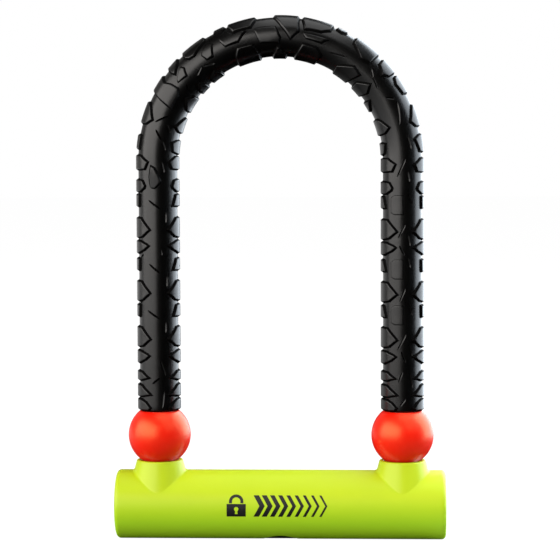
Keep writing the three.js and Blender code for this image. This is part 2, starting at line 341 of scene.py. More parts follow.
def skin(bm, rings, closed=False, slots=(0,)):
    """Joins closed loops of points into a surface; slots gives the material round a loop."""
    rows = [[bm.verts.new(point) for point in ring] for ring in rings]
    pairs = list(zip(rows, rows[1:])) + ([(rows[-1], rows[0])] if closed else [])
    for first, second in pairs:
        count = len(first)
        for i in range(count):
            j = (i + 1) % count
            face = bm.faces.new((first[i], first[j], second[j], second[i]))
            face.material_index = slots[i % len(slots)]
    return rows


def turned_rings(profile, centre, steps, axis="z"):
    """Loops of a turned piece. The profile is (radius, height) points along the axis."""
    rings = []
    for radius, height in profile:
        ring = []
        for i in range(steps):
            turn = 2 * math.pi * i / steps
            across, up = radius * math.cos(turn), radius * math.sin(turn)
            local = (across, up, height) if axis == "z" else (height, across, up)
            ring.append(Vector(local) + Vector(centre))
        rings.append(ring)
    return rings


def outward(bm):
    bmesh.ops.recalc_face_normals(bm, faces=bm.faces)


def arc(centre, radius, start, stop, steps):
    """Points of an arc in (radius, height), angles in degrees from the radius axis."""
    points = []
    for i in range(steps + 1):
        turn = math.radians(start + (stop - start) * i / steps)
        points.append((centre[0] + radius * math.cos(turn), centre[1] + radius * math.sin(turn)))
    return points


def sides(loop):
    """Each point of a closed loop with the next one."""
    return zip(loop, [*loop[1:], loop[0]])


def area(loop):
    """The area inside a flat loop: positive if it turns to the left."""
    return sum(a[0] * b[1] - b[0] * a[1] for a, b in sides(loop)) / 2


def limits(loop):
    return [(min(point[i] for point in loop), max(point[i] for point in loop)) for i in (0, 1)]


def fill(outline, spacing, holes=()):
    """Triangles of a flat outline, with points inside it so that it can be bent."""
    points = [Vector(point) for point in outline]
    edges = [(i, (i + 1) % len(points)) for i in range(len(points))]
    for hole in holes:
        start = len(points)
        points += [Vector(point) for point in hole]
        edges += [(start + i, start + (i + 1) % len(hole)) for i in range(len(hole))]
    (left, right), (bottom, top) = limits(outline)
    columns = max(1, round((right - left) / spacing[0]))
    rows = max(1, round((top - bottom) / spacing[1]))
    rectangle = abs(area(outline)) > 0.999 * (right - left) * (top - bottom)
    loops = list(holes) if rectangle else [outline, *holes]
    boxes = [limits(loop) for loop in loops]
    room = 0.4 * min(spacing)

    def near(point, gap):
        """The loops whose box is closer to the point than the gap."""
        return [
            loop for loop, box in zip(loops, boxes)
            if all(low - gap < point[i] < high + gap for i, (low, high) in enumerate(box))
        ]

    def wanted(point, gap=0.0):
        close = near(point, gap)
        if not rectangle and not (close and close[0] is outline and inside(point, outline)):
            return False
        if any(inside(point, loop) for loop in close if loop is not outline):
            return False
        return gap == 0 or all(distance_to(point, loop) > gap for loop in close)

    for i in range(1, columns):
        for j in range(1, rows):
            point = (left + (right - left) * i / columns, bottom + (top - bottom) * j / rows)
            if wanted(point, room):
                points.append(Vector(point))
    kept, _, faces, *_ = delaunay_2d_cdt(points, edges, [], 0, 1e-9)
    middles = [sum((kept[i] for i in face), Vector((0, 0))) / 3 for face in faces]
    return kept, [face for face, middle in zip(faces, middles) if wanted(middle)]


def inside(point, loop):
    x, y = point[0], point[1]
    within = False
    for first, second in sides(loop):
        if (first[1] > y) != (second[1] > y):
            cross = first[0] + (y - first[1]) * (second[0] - first[0]) / (second[1] - first[1])
            if x < cross:
                within = not within
    return within


def distance_to(point, loop):
    best = 1e9
    x, y = point[0], point[1]
    for first, second in sides(loop):
        dx, dy = second[0] - first[0], second[1] - first[1]
        share = ((x - first[0]) * dx + (y - first[1]) * dy) / max(dx * dx + dy * dy, 1e-18)
        share = min(1.0, max(0.0, share))
        gap = math.hypot(x - first[0] - share * dx, y - first[1] - share * dy)
        best = min(best, gap)
    return best


# ---------------------------------------------------------------- tread sleeve

# The tread is drawn flat: x runs along the bent centre-line from the left end, y is the arc round
# the sleeve from its front, and z is the height above the sleeve's body. Positions are written as
# (millimetres along the nominal length, degrees round from the front).
nominal_length = 444.4
along_unit = sleeve_length / nominal_length
relief = block_height - 0.03 * mm
low_relief = 0.22 * mm
bow = 0.003 * mm  # keeps the points of a straight edge out of one line


def flat(point):
    along, around = point
    return (along * along_unit, math.radians(around) * body_radius)


def edge_counts(loop, longest):
    """How many pieces each edge of a loop is cut into, so that none is longer than longest."""
    return [max(1, math.ceil(math.dist(a, b) / longest)) for a, b in sides(loop)]


def divided(loop, counts):
    """The same loop with each edge cut into equal pieces, and bowed outwards by a hair."""
    points = []
    swell = math.copysign(4 * bow, area(loop))
    for (first, second), steps in zip(sides(loop), counts):
        along = Vector(second) - Vector(first)
        if along.length == 0:
            continue
        out = Vector((along.y, -along.x)) / along.length * swell
        for i in range(steps):
            share = i / steps
            lift = share * (1 - share)
            ends = zip(first, second, out)
            points.append(tuple(a + (b - a) * share + c * lift for a, b, c in ends))
    return points


def inset(loop, amount):
    """The loop moved inwards by amount, with mitred corners."""
    moved = []
    count = len(loop)
    for i in range(count):
        before, here, after = (Vector(loop[j % count]) for j in (i - 1, i, i + 1))
        first = (here - before).normalized()
        second = (after - here).normalized()
        normal_a = Vector((-first.y, first.x))
        normal_b = Vector((-second.y, second.x))
        bisector = (normal_a + normal_b).normalized()
        reach = amount / max(0.35, bisector.dot(normal_a))
        moved.append(tuple(here + bisector * reach))
    return moved


def raise_block(bm, points, height, ramp=False):
    """A raised tread block with steep walls and a rounded upper edge; the walls carry painted shade
    as a rubber with almost no reflection.

    A ramp rises from nothing at its upper near corner to its full height.
    """
    outline = [flat(point) for point in points]
    if area(outline) < 0:
        outline = outline[::-1]
    sunk = 0.35 * mm
    counts = edge_counts(outline, 1.3 * mm)
    edge = min(0.16 * mm, 0.4 * height)
    half_wall = min(0.46 * mm, 0.6 * height)
    profile = [(-half_wall - 0.02 * mm, -sunk), (-half_wall, 0.0), (-0.7 * half_wall, 0.1 * height)]
    profile += [(0.1 * half_wall, 0.55 * height), (0.75 * half_wall, height - 0.8 * edge)]
    profile += [(half_wall + 0.05 * mm, height - 0.2 * edge)]
    profile += [(half_wall + 0.2 * mm, height), (half_wall + 0.36 * mm, height)]
    reaches = [rise_way.dot(Vector(point)) for point in outline]
    first, span = min(reaches), 0.75 * (max(reaches) - min(reaches))
    dip = 0.06 * mm

    def lifted(x, y, z):
        if not ramp or z < 0:
            return (x, y, z)
        share = min(1.0, max(0.0, (rise_way.dot(Vector((x, y))) - first) / span))
        return (x, y, (z + dip) * share - dip)

    rings = []
    for amount, z in profile:
        ring = divided(inset(outline, amount), counts)
        rings.append([lifted(x, y, z) for x, y in ring])
    facing = [(Vector(b[:2]) - Vector(a[:2])).normalized().y for a, b in sides(rings[0])]
    unshaded = unshaded_from < outline[0][0] / along_unit < unshaded_to
    # Painted shade: walls take the rubber with almost no reflection, except the upper part of walls
    # facing one way in that stretch.
    upper = [0 if unshaded and turn < -0.4 else 1 for turn in facing]
    wall = skin(bm, rings[:4], slots=(1,))
    skin(bm, rings[3:5], slots=upper)
    edge_rows = skin(bm, rings[4:-1])
    cap(bm, edge_rows[-1], [point[:2] for point in rings[-1]], height, lifted)
    cap(bm, wall[0][::-1], None, -sunk, lifted, [ring[:2] for ring in rings[0]][::-1])


def cap(bm, row, loop, height, lifted, own=None):
    """Closes a row of vertices with triangles, through a smaller loop if one is given."""
    if loop:
        inner = [bm.verts.new(lifted(x, y, height)) for x, y in loop]
        count = len(row)
        for i in range(count):
            j = (i + 1) % count
            bm.faces.new((row[i], row[j], inner[j], inner[i]))
        outline = loop
    else:
        inner = row
        outline = own
    points, faces = fill(outline, (2.2 * mm, 1.7 * mm))
    made = list(inner)
    for point in points[len(inner):]:
        made.append(bm.verts.new(lifted(point.x, point.y, height)))
    for face in faces:
        corners = [made[i] for i in face]
        if len(set(corners)) == 3:
            bm.faces.new(corners)


groove_steps = 8
# The stretch of the bend where the upper part of some block walls keeps the rubber's reflection
# instead of painted shade.
unshaded_from, unshaded_to = 190, 255
# The way in which a ramped block rises: along the sleeve and down towards its inner side.
rise_way = Vector((0.55, -0.83))


def groove_rows(start, stop, side):
    """A saw-tooth groove: its high edge, its bottom and its far edge, as rows of flat points."""
    first, last = Vector(flat(start)), Vector(flat(stop))
    run = (last - first).normalized()
    away = Vector((run.y, -run.x)) * side
    width, depth = 1.05 * mm, 0.62 * mm
    rows = [[], [], []]
    for i in range(groove_steps + 1):
        share = i / groove_steps
        fade = min(1.0, 0.25 + 5.0 * min(share, 1 - share))
        middle = first.lerp(last, share)
        half = width * (fade - 0.02 * share * (1 - share))
        for row, across, down in zip(rows, (-0.5, 0.3, 0.5), (0, depth * fade, 0)):
            point = middle + away * across * half
            row.append((point.x, point.y, -down))
    return rows


def cut_groove(bm, groove):
    """Builds a groove's faces and gives the loop that it leaves open in the sheet."""
    rows = groove_rows(*groove)
    in_front = groove[2] if abs(groove[0][1]) < 90 else -groove[2]
    # Painted shade: grooves high on the front side, before that stretch, take the rubber with
    # almost no reflection.
    slot = 1 if in_front > 0 and groove[0][0] < unshaded_from else 0
    made = [[bm.verts.new(point) for point in row] for row in rows]
    for first, second in zip(made, made[1:]):
        for i in range(groove_steps):
            wall = bm.faces.new((first[i], first[i + 1], second[i + 1], second[i]))
            wall.material_index = slot
    for end in (0, -1):
        bm.faces.new([row[end] for row in made]).material_index = slot
    return [point[:2] for point in rows[0] + rows[2][::-1]]


# Shapes of the blocks on the sides of the sleeve, from the front to the crown at 90 degrees.
side_shapes = {
    "toe": [(0.6, 70), (0.6, 33), (2.0, 27), (4.8, 42), (6.2, 60), (6.3, 78)],
    "flag": [(-1.0, 75), (-0.8, 60), (0.3, 25), (1.6, 33), (5.2, 60), (5.5, 78)],
    "fin": [(-1.3, 80), (-1.2, 60), (0.2, 31), (3.4, 58), (3.7, 75)],
    "wedge": [(-4.0, 75), (-3.6, 66), (-1.9, 42), (0.0, 29), (1.0, 37), (2.6, 62), (2.8, 74)],
    "arrow": [(-4.2, 76), (-3.4, 50), (0.0, 25), (1.6, 33), (6.0, 57), (6.3, 78)],
    "step": [(-0.8, 80), (-0.6, 42), (5.2, 57), (5.6, 78)],
    "ledge": [(-0.8, 80), (-0.6, 66), (5.4, 64), (5.7, 80)],
    "bracket": [(-2.4, 80), (-1.6, 56), (-0.8, 42), (4.4, 36), (6.0, 56), (6.4, 80)],
    "shelf": [(-0.8, 80), (-0.6, 61), (5.4, 60), (5.7, 80)],
    "ramp": [(-0.8, 80), (-0.4, 53), (5.4, 36), (6.8, 55), (7.2, 80)],
    "sill": [(-0.8, 82), (-0.6, 64), (5.4, 76), (5.7, 83)],
    "rise": [(-1.6, 82), (-0.4, 68), (5.3, 61), (6.2, 82)],
    "cap": [(-2.9, 78), (-2.7, 60), (-1.0, 43), (0.3, 40), (3.0, 50), (3.6, 70)],
    "slope": [(-1.0, 76), (-0.7, 40), (3.0, 30), (6.0, 56), (6.2, 75)],
    "crest": [(-2.9, 76), (-2.5, 52), (0.0, 34), (5.0, 55), (6.8, 68), (6.9, 79)],
}

# The blocks up one leg: shape, and where it stands. The four rows differ only in their steps.
leg_row = [
    ("toe", 0.0), ("flag", 8.2), ("fin", 16.8), ("wedge", 28.1), ("arrow", 36.5),
    ("step", 48.4), ("arrow", 59.6), ("step", 71.6), ("wedge", 83.3), ("arrow", 91.3),
    ("step", 103.6), ("cap", 113.0), ("slope", 122.2), ("last step", 131.6), ("crest", 145.0),
]


def both_faces(points, crown):
    """A side block's outline: the points given, and the same ones over the crown."""
    return points + [(along, 2 * crown - around) for along, around in points[::-1]]


def leg_blocks(step, last, crown):
    """One side of a leg, with its steps: its crown is at +90 or -90 degrees."""
    sign = math.copysign(1, crown)
    steps = {"step": step, "last step": last}

    def draw(bm):
        for shape, place in leg_row:
            points = side_shapes[steps.get(shape, shape)]
            points = [(place + along, sign * around) for along, around in points]
            raise_block(bm, both_faces(points, crown), relief)

    return draw


# Blocks of the bend, which has its own drawing: outer side, inner side, and front.
bend_outer = [
    [(156.6, 80), (155.7, 45), (153.3, -12), (161.2, -13), (164.1, -1), (163.7, 25), (162.6, 46),
     (164.6, 80)],
    [(167.7, 80), (167.7, 45), (168.4, 32), (172.8, 56), (174.0, 80)],
    [(176.6, 80), (176.6, 44), (178.0, 34), (180.6, 31), (184.0, 42), (188.2, 54), (188.4, 80)],
    [(193.0, 82), (193.2, 66), (196.6, 60), (198.0, 66), (198.2, 82)],
    [(199.6, 80), (199.9, 58), (201.3, 37), (209.6, 35), (211.8, 58), (212.1, 80)],
    [(220.0, 78), (220.4, 62), (223.4, 31), (228.3, -7), (231.9, 18), (231.2, 42), (230.8, 76)],
    [(232.5, 80), (232.8, 58), (234.4, 27), (242.0, 31), (245.8, 46), (246.2, 80)],
    [(247.8, 82), (248.0, 66), (250.6, 60), (252.4, 70), (252.6, 82)],
    [(256.9, 80), (257.3, 45), (264.0, 18), (268.7, 26), (269.0, 80)],
    [(271.6, 80), (272.0, 46), (276.5, 26), (278.9, 43), (279.1, 80)],
    [(280.4, 82), (280.7, 58), (283.5, 46), (288.7, 54), (289.2, 82)],
]
bend_inner = [
    [(155.6, -78), (156.0, -57), (161.6, -36), (165.6, -56), (166.0, -80)],
    [(169.3, -78), (169.7, -56), (172.8, -38), (175.6, -56), (176.0, -78)],
    [(178.7, -78), (179.4, -56), (183.4, -42), (186.9, -56), (187.3, -78)],
    [(197.5, -75), (198.2, -33), (200.7, -12), (208.8, -13), (211.2, -46), (211.6, -75)],
    [(218.4, -75), (219.0, -61), (221.5, -31), (223.0, -31), (226.3, -62), (226.6, -75)],
    [(231.0, -78), (231.6, -60), (234.8, -14), (242.5, -15), (246.3, -33), (244.5, -60),
     (244.2, -78)],
    [(255.8, -75), (256.0, -37), (264.0, -10), (269.4, -18), (267.4, -48), (266.2, -75)],
    [(270.2, -75), (270.4, -41), (276.4, -13), (279.4, -38), (277.9, -75)],
    [(281.9, -80), (283.1, -47), (288.6, -70), (288.9, -82)],
]
bend_front = [
    [(166.3, 11), (171.6, 3), (173.4, 26), (172.4, 42), (169.3, 29), (167.0, 20)],
    [(184.4, -1), (187.7, -3), (190.3, 31), (188.4, 43), (184.8, 33), (183.4, 18)],
    [(194.2, 42), (194.1, 28), (195.4, 5), (202.3, 3), (206.8, 28), (205.0, 32), (200.8, 31),
     (198.8, 50)],
    [(210.6, 33), (211.0, 22), (212.7, -15), (222.6, -20), (223.2, -4), (220.7, 30)],
    [(233.6, 18), (236.0, 2), (244.0, 1), (246.3, 18)],
    [(112.0, 3), (115.5, -17), (122.4, 4), (123.3, 15), (118.0, 21), (112.2, 19)],
]

# Grooves across the front: start, end, and which side is high (+1 is on the left of the run).
grooves = [
    ((2.0, -14), (10.4, -20), -1), ((18.4, -25), (26.0, -8), -1), ((40.0, -26), (45.5, -26), -1),
    ((63.0, -31), (68.5, -31), -1), ((95.0, -29), (100.2, -29), -1), ((78.8, -16), (81.6, -12), -1),
    ((120.0, -25), (125.2, -17), -1), ((131.5, -28), (136.0, -15), -1),
    ((141.3, -35), (145.0, -17), -1),
    ((46.6, -9), (51.1, 29), 1), ((69.6, -10), (74.4, 23), 1), ((101.7, -12), (106.2, 23), 1),
    ((136.4, -12), (141.1, 11), 1), ((14.2, 15), (17.2, -8), 1), ((144.4, 19), (149.4, -13), 1),
    ((54.2, 63), (56.0, 48), -1), ((77.4, 57), (79.0, 43), -1), ((166.0, -29), (168.2, -12), 1),
    ((175.4, -18), (179.8, -7), -1), ((181.0, -9), (186.4, -23), -1), ((270.8, 18), (274.6, 4), 1),
    ((274.6, 4), (280.2, -6), 1), ((291.0, 24), (301.2, 6), 1), ((318.2, 9), (327.0, -16), 1),
    ((324.0, 15), (329.4, 21), 1), ((335.4, 16), (341.2, 32), 1), ((350.8, 8), (357.4, -13), 1),
    ((355.4, 15), (361.2, 23), 1), ((361.0, -10), (366.0, 6), 1), ((366.6, 15), (372.0, 24), 1),
    ((382.6, 8), (389.2, -9), 1), ((389.8, 17), (395.6, 30), 1), ((405.4, 10), (413.2, -15), 1),
    ((410.0, 18), (416.0, 30), 1), ((414.0, -5), (419.4, 9), 1), ((424.0, 22), (432.2, 31), 1),
    ((424.0, 0), (429.4, -12), 1), ((437.8, 9), (441.6, -9), 1), ((249.4, -15), (258.4, -4), -1),
    ((306.6, 21), (313.4, 28), 1), ((286.4, 0), (288.8, 21), -1),
]
low_plates = [
    [(start, 2), (start, -24), (start + 1.2, -36), (start + 8.6, -36), (start + 9.6, -24),
     (start + 9.6, 2)]
    for start in (336.2, 368.2, 391.0)
]


def build_flat(name, draw):
    bm = bmesh.new()
    draw(bm)
    made = finish_mesh(name, bm, rubber)
    made.data.materials.append(painted_shade_rubber)
    return made


def bend_blocks(bm):
    for points in bend_outer:
        raise_block(bm, both_faces(points, 90), relief)
    for points in bend_inner:
        raise_block(bm, both_faces(points, -90), relief)


def front_blocks(bm):
    for points in bend_front:
        raise_block(bm, points, relief * 0.85, ramp=True)
    for points in low_plates:
        raise_block(bm, points, low_relief)


def sheet_border(start, low, spacing, steps):
    """The outline of a flat sheet, with a point at every step, from its lower left corner."""
    along, around = steps
    stop, high = start + spacing[0] * along, low + spacing[1] * around
    border = [(start + spacing[0] * i, low) for i in range(along)]
    border += [(stop, low + spacing[1] * i) for i in range(around)]
    border += [(stop - spacing[0] * i, high) for i in range(along)]
    return border + [(start, high - spacing[1] * i) for i in range(around)]


def sleeve_body(bm):
    """The tube of the sleeve with its grooves, drawn flat; its two long edges are to be joined."""
    edge = 0.9 * mm
    start, stop = edge, sleeve_length - edge
    girth = math.pi * body_radius
    steps_along, steps_round = 190, 84
    spacing = ((stop - start) / steps_along, 2 * girth / steps_round)
    holes = [cut_groove(bm, groove) for groove in grooves]
    holes += [cut_groove(bm, mirrored_groove(groove)) for groove in grooves]
    # The seam runs along the outer crown, where blocks cover it.
    low = -1.5 * girth
    border = sheet_border(start, low, spacing, (steps_along, steps_round))
    points, faces = fill(border, spacing, holes)
    made = [bm.verts.new((point.x, point.y, 0)) for point in points]
    for face in faces:
        bm.faces.new([made[i] for i in face])
    floor = bore - body_radius
    bore_steps = 120
    inner = [(sleeve_length * (1 - i / bore_steps), floor) for i in range(bore_steps + 1)]
    profile = arc((stop, -edge), edge, 90, 0, 5) + inner + arc((start, -edge), edge, 180, 90, 5)
    rows = []
    for i in range(steps_round + 1):
        y = low + spacing[1] * i
        rows.append([bm.verts.new((x, y, z)) for x, z in profile])
    for first, second in zip(rows, rows[1:]):
        for i in range(len(profile) - 1):
            bm.faces.new((first[i], first[i + 1], second[i + 1], second[i]))


def mirrored_groove(groove):
    """The same groove on the back of the sleeve."""
    (start, start_angle), (stop, stop_angle), side = groove
    return (start, -180 - start_angle), (stop, -180 - stop_angle), -side


def wrap_tree():
    """Repeats the flat blocks on both legs and both faces, then bends everything to the shackle."""
    group = bpy.data.node_groups.new("wrap tread on shackle", "GeometryNodeTree")
    sizes = {
        "Leg length": leg_length, "Bend radius": leg_half, "Body radius": body_radius,
        "Bend height": bend_height, "Far leg stretch": 0.987,
        "Near leg lean": math.radians(-7.5), "Far outer lean": math.radians(4),
        "Far inner lean": math.radians(11),
    }
    face = group.interface
    face.new_socket("Geometry", in_out="INPUT", socket_type="NodeSocketGeometry")
    for name, value in sizes.items():
        socket = face.new_socket(name, in_out="INPUT", socket_type="NodeSocketFloat")
        socket.default_value = value
    for name in ("Near rows", "Far outer row", "Far inner row", "Bend blocks", "Front blocks"):
        face.new_socket(name, in_out="INPUT", socket_type="NodeSocketObject")
    for name in ("Material", "Groove material"):
        face.new_socket(name, in_out="INPUT", socket_type="NodeSocketMaterial")
    face.new_socket("Geometry", in_out="OUTPUT", socket_type="NodeSocketGeometry")
    tree = Tree(group)
    given = {socket.name: Term(tree, socket) for socket in tree.node("NodeGroupInput").outputs}
    leg_run, radius, body = given["Leg length"], given["Bend radius"], given["Body radius"]
    total = leg_run * 2 + radius * math.pi

    def brought(name):
        return tree.take("GeometryNodeObjectInfo", "Geometry", {"Object": given[name]})

    def moved(geometry, scale, shift):
        sockets = {"Geometry": geometry, "Scale": scale, "Translation": shift}
        return tree.take("GeometryNodeTransform", 0, sockets)

    def joined(*parts):
        node = tree.node("GeometryNodeJoinGeometry")
        for part in parts:
            group.links.new(part.socket, node.inputs[0])
        return Term(tree, node.outputs[0])

    # The far leg's rows are drawn like the near leg's and turned half a turn.
    near_shift = tree.combine(0.0, given["Near leg lean"] * body, 0.0)
    near = moved(brought("Near rows"), (1.0, 1.0, 1.0), near_shift)
    turned = tree.combine(-given["Far leg stretch"], -1.0, 1.0)
    far_outer_shift = tree.combine(total, given["Far outer lean"] * body, 0.0)
    far_outer = moved(brought("Far outer row"), turned, far_outer_shift)
    far_inner_shift = tree.combine(total, given["Far inner lean"] * body, 0.0)
    far_inner = moved(brought("Far inner row"), turned, far_inner_shift)
    fronts = brought("Front blocks")
    behind = moved(fronts, (1.0, -1.0, 1.0), tree.combine(0.0, body * math.pi, 0.0))
    legs = joined(near, far_outer, far_inner)
    flat_tread = joined(given["Geometry"], legs, fronts, behind, brought("Bend blocks"))

    along, arc_round, height = tree.split(tree.take("GeometryNodeInputPosition", 0))
    turn = ((along - leg_run) / radius).clamped(0.0, math.pi)
    up_leg = (along - leg_run).maths("MINIMUM", 0.0)
    down_leg = (along - leg_run - radius * math.pi).maths("MAXIMUM", 0.0)
    angle = arc_round / body
    reach = body + height
    outwards = reach * angle.maths("SINE")
    from_centre = radius + outwards
    x = -(from_centre * turn.maths("COSINE"))
    z = given["Bend height"] + from_centre * turn.maths("SINE") + up_leg - down_leg
    y = -(reach * angle.maths("COSINE"))
    wrapped = tree.take(
        "GeometryNodeSetPosition", 0, {"Geometry": flat_tread, "Position": tree.combine(x, y, z)}
    )
    real = tree.take("GeometryNodeRealizeInstances", 0, {"Geometry": wrapped})
    welded = tree.take("GeometryNodeMergeByDistance", 0, {"Geometry": real, "Distance": 0.002 * mm})
    # The painted shade keeps its own rubber; everything else takes the main rubber.
    dull = tree.take("GeometryNodeMaterialSelection", 0, {"Material": given["Groove material"]})
    painted = tree.take(
        "GeometryNodeSetMaterial", 0,
        {"Geometry": welded, "Selection": 1.0 - dull, "Material": given["Material"]},
    )
    output = tree.node("NodeGroupOutput")
    group.links.new(painted.socket, output.inputs[0])
    return group


def evaluated_mesh(piece):
    """A plain mesh of the piece as its modifiers leave it; the modifiers are taken off."""
    bpy.context.view_layer.update()
    ready = piece.evaluated_get(bpy.context.evaluated_depsgraph_get())
    mesh = bpy.data.meshes.new_from_object(ready)
    piece.modifiers.clear()
    return mesh


def bake(source, group, values, name):
    """Runs a Geometry Nodes tree on an object and keeps the result as a plain mesh."""
    modifier = source.modifiers.new("nodes", "NODES")
    modifier.node_group = group
    for item in group.interface.items_tree:
        if item.item_type == "SOCKET" and item.in_out == "INPUT" and item.name in values:
            modifier[item.identifier] = values[item.name]
    mesh = evaluated_mesh(source)
    mesh.name = name
    return add_object(name, mesh)


def make_sleeve():
    def near_rows(bm):
        leg_blocks("ledge", "ledge", 90)(bm)
        leg_blocks("step", "bracket", -90)(bm)

    drawings = {
        "Near rows": near_rows,
        "Far outer row": leg_blocks("shelf", "ramp", -90),
        "Far inner row": leg_blocks("sill", "rise", 90),
        "Bend blocks": bend_blocks,
        "Front blocks": front_blocks,
    }
    values = {name: build_flat(name, draw) for name, draw in drawings.items()}
    body = build_flat("sleeve body", sleeve_body)
    materials = {"Material": rubber, "Groove material": painted_shade_rubber}
    sleeve = bake(body, wrap_tree(), {**values, **materials}, "tyre_tread_sleeve")
    for template in (*values.values(), body):
        bpy.data.objects.remove(template)
    bm = bmesh.new()
    bm.from_mesh(sleeve.data)
    outward(bm)
    bm.to_mesh(sleeve.data)
    bm.free()
    sleeve.data.shade_smooth()
    sleeve.data.set_sharp_from_angle(angle=math.radians(34))
    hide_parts("tread_sleeve")
    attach(sleeve, "shackle")


# ---------------------------------------------------------------- balls and shackle rod


def make_ball(side, end):
    lip = 0.35 * mm
    seat = body_radius + 0.15 * mm
    top = math.degrees(math.asin(math.sqrt(ball_radius**2 - seat**2) / ball_radius))
    foot = -math.degrees(math.asin(math.sqrt(ball_radius**2 - (bore + lip) ** 2) / ball_radius))
    ball = arc((0, 0), ball_radius, top, foot, 64)
    upper = ball[0][1]
    lower = -math.sqrt(ball_radius**2 - bore**2)
    profile = [(bore, upper - lip), (bore + lip, upper), (seat - lip, upper)] + ball
    profile += [(bore, lower + lip)]
    bm = bmesh.new()
    skin(bm, turned_rings(profile, (side * leg_half, 0, ball_height), 112), closed=True)
    outward(bm)
    made = finish_mesh(f"stop_ball_{end}", bm, orange)
    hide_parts(f"ball_{end}")
    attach(made, "shackle")


def make_rod():
    """The bent shackle rod, with a bolt notch on the inner side of each leg."""
    bolt_radius = (bolt_high.z - bolt_low.z) / 2
    notch_middle = (bolt_high.z + bolt_low.z) / 2
    notch_half = bolt_radius + 0.6 * mm
    notch_floor = leg_half - rod_radius + 4.6 * mm
    foot = rod_low.z
    taper = 2.3 * mm
    edge = 0.6 * mm
    tip_radius = rod_radius - 3 * mm
    stations = []
    for turn in map(math.radians, (0, 45, 90)):
        height = foot + edge * (1 - math.cos(turn))
        stations.append((height, tip_radius + edge * math.sin(turn)))
    stations.append((foot + taper - edge / 2, rod_radius - 0.25 * mm))
    stations.append((foot + taper + edge / 2, rod_radius))
    bend_steps = 64
    rings = [rod_ring(0, height, radius) for height, radius in stations]
    turns = [math.pi * i / bend_steps for i in range(bend_steps + 1)]
    rings += [rod_ring(turn, bend_height, rod_radius) for turn in turns]
    rings += [rod_ring(math.pi, height, radius) for height, radius in stations[::-1]]
    bm = bmesh.new()
    rows = skin(bm, rings)
    bm.faces.new(rows[0][::-1])
    bm.faces.new(rows[-1])
    outward(bm)
    rod = finish_mesh("shackle_rod", bm, plated)
    for side in (-1, 1):
        cutter = notch_cutter(side, notch_floor, notch_middle, notch_half)
        cut = rod.modifiers.new("notch", "BOOLEAN")
        cut.object = cutter
        cut.operation = "DIFFERENCE"
        cut.solver = "EXACT"
        whole = rod.data
        rod.data = evaluated_mesh(rod)
        bpy.data.meshes.remove(whole)
        bpy.data.objects.remove(cutter)
    rod.data.set_sharp_from_angle(angle=math.radians(38))
    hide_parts("shackle")
    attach(rod, "shackle")


def rod_ring(turn, height, radius, steps=40):
    """A loop round the rod, at a turn of its bend whose centre is at the height."""
    away, centre = Vector((-math.cos(turn), 0, math.sin(turn))), Vector((0, 0, height))
    ring = []
    for i in range(steps):
        around = 2 * math.pi * i / steps
        side = Vector((0, -radius * math.sin(around), 0))
        ring.append(centre + away * (leg_half + radius * math.cos(around)) + side)
    return ring


def notch_cutter(side, floor, middle, half):
    bm = bmesh.new()
    bmesh.ops.create_cube(bm, size=1.0)
    depth = 3 * rod_radius
    centre = Vector((side * (floor - depth / 2), 0, middle))
    shape = Matrix.Translation(centre) @ Matrix.Diagonal((depth, 4 * rod_radius, 2 * half, 1))
    bmesh.ops.transform(bm, matrix=shape, verts=bm.verts)
    return finish_mesh("notch cutter", bm, plated)


# ---------------------------------------------------------------- bar cover

skin_radius = bar_radius - 0.035 * mm  # the print lies on this and stays within the bar's size
tube_space = cap_radius + clear
collar_slope = 0.265
collar_rim = collar_mouth + 2.05 * mm
fillet = 1.5 * mm
collar_steps = 96
bar_steps = 90


def circle_on_bar(x, radius, bar, above, steps=collar_steps):
    """Where an upright round hole meets a lying cylinder."""
    points = []
    for i in range(steps):
        turn = 2 * math.pi * i / steps
        y = radius * math.sin(turn)
        lift = math.sqrt(bar**2 - y**2) * (1 if above else -1)
        points.append(Vector((x + radius * math.cos(turn), y, bar_axis + lift)))
    return points


def fillet_loops(x):
    """The loops of a rolling-ball fillet between the sloping collar and the bar."""
    count = 8
    loops = [[] for _ in range(count + 1)]
    slant = math.sqrt(1 + collar_slope**2)
    rim_height = collar_top - 0.6 * mm - bar_axis
    reach = collar_rim + collar_slope * rim_height + fillet * slant
    far = skin_radius + fillet
    for i in range(collar_steps):
        turn = 2 * math.pi * i / collar_steps
        s2 = math.sin(turn) ** 2
        a = 1 + s2 * collar_slope**2
        b = reach * collar_slope * s2
        c = reach**2 * s2 - far**2
        z = (b + math.sqrt(b * b - a * c)) / a
        out = reach - collar_slope * z
        centre = Vector((out * math.cos(turn), out * math.sin(turn), z))
        to_collar = -Vector((math.cos(turn), math.sin(turn), collar_slope)) / slant
        to_bar = -Vector((0, centre.y, centre.z)).normalized()
        angle = to_collar.angle(to_bar)
        for j in range(count + 1):
            share = j / count
            if angle < 1e-6:
                way = to_collar
            else:
                way = to_collar * math.sin((1 - share) * angle) + to_bar * math.sin(share * angle)
                way /= math.sin(angle)
            point = centre + way * fillet
            loops[j].append(Vector((x + point.x, point.y, bar_axis + point.z)))
    return loops


def unrolled(point):
    """A point of the bar's skin as (x, arc from the front)."""
    turn = math.atan2(point.z - bar_axis, -point.y)
    return (point.x, turn * skin_radius)


def bar_sheet(bm, radius, half, holes, steps_along=84):
    """A lying cylinder with holes, from its unrolled drawing."""
    girth = math.pi * skin_radius
    spacing = (2 * half / steps_along, 2 * girth / bar_steps)
    border = sheet_border(-half, -girth, spacing, (steps_along, bar_steps))
    points, faces = fill(border, spacing, holes)
    made = []
    for point in points:
        turn = point.y / skin_radius
        place = (point.x, -radius * math.cos(turn), bar_axis + radius * math.sin(turn))
        made.append(bm.verts.new(place))
    for face in faces:
        bm.faces.new([made[i] for i in face])


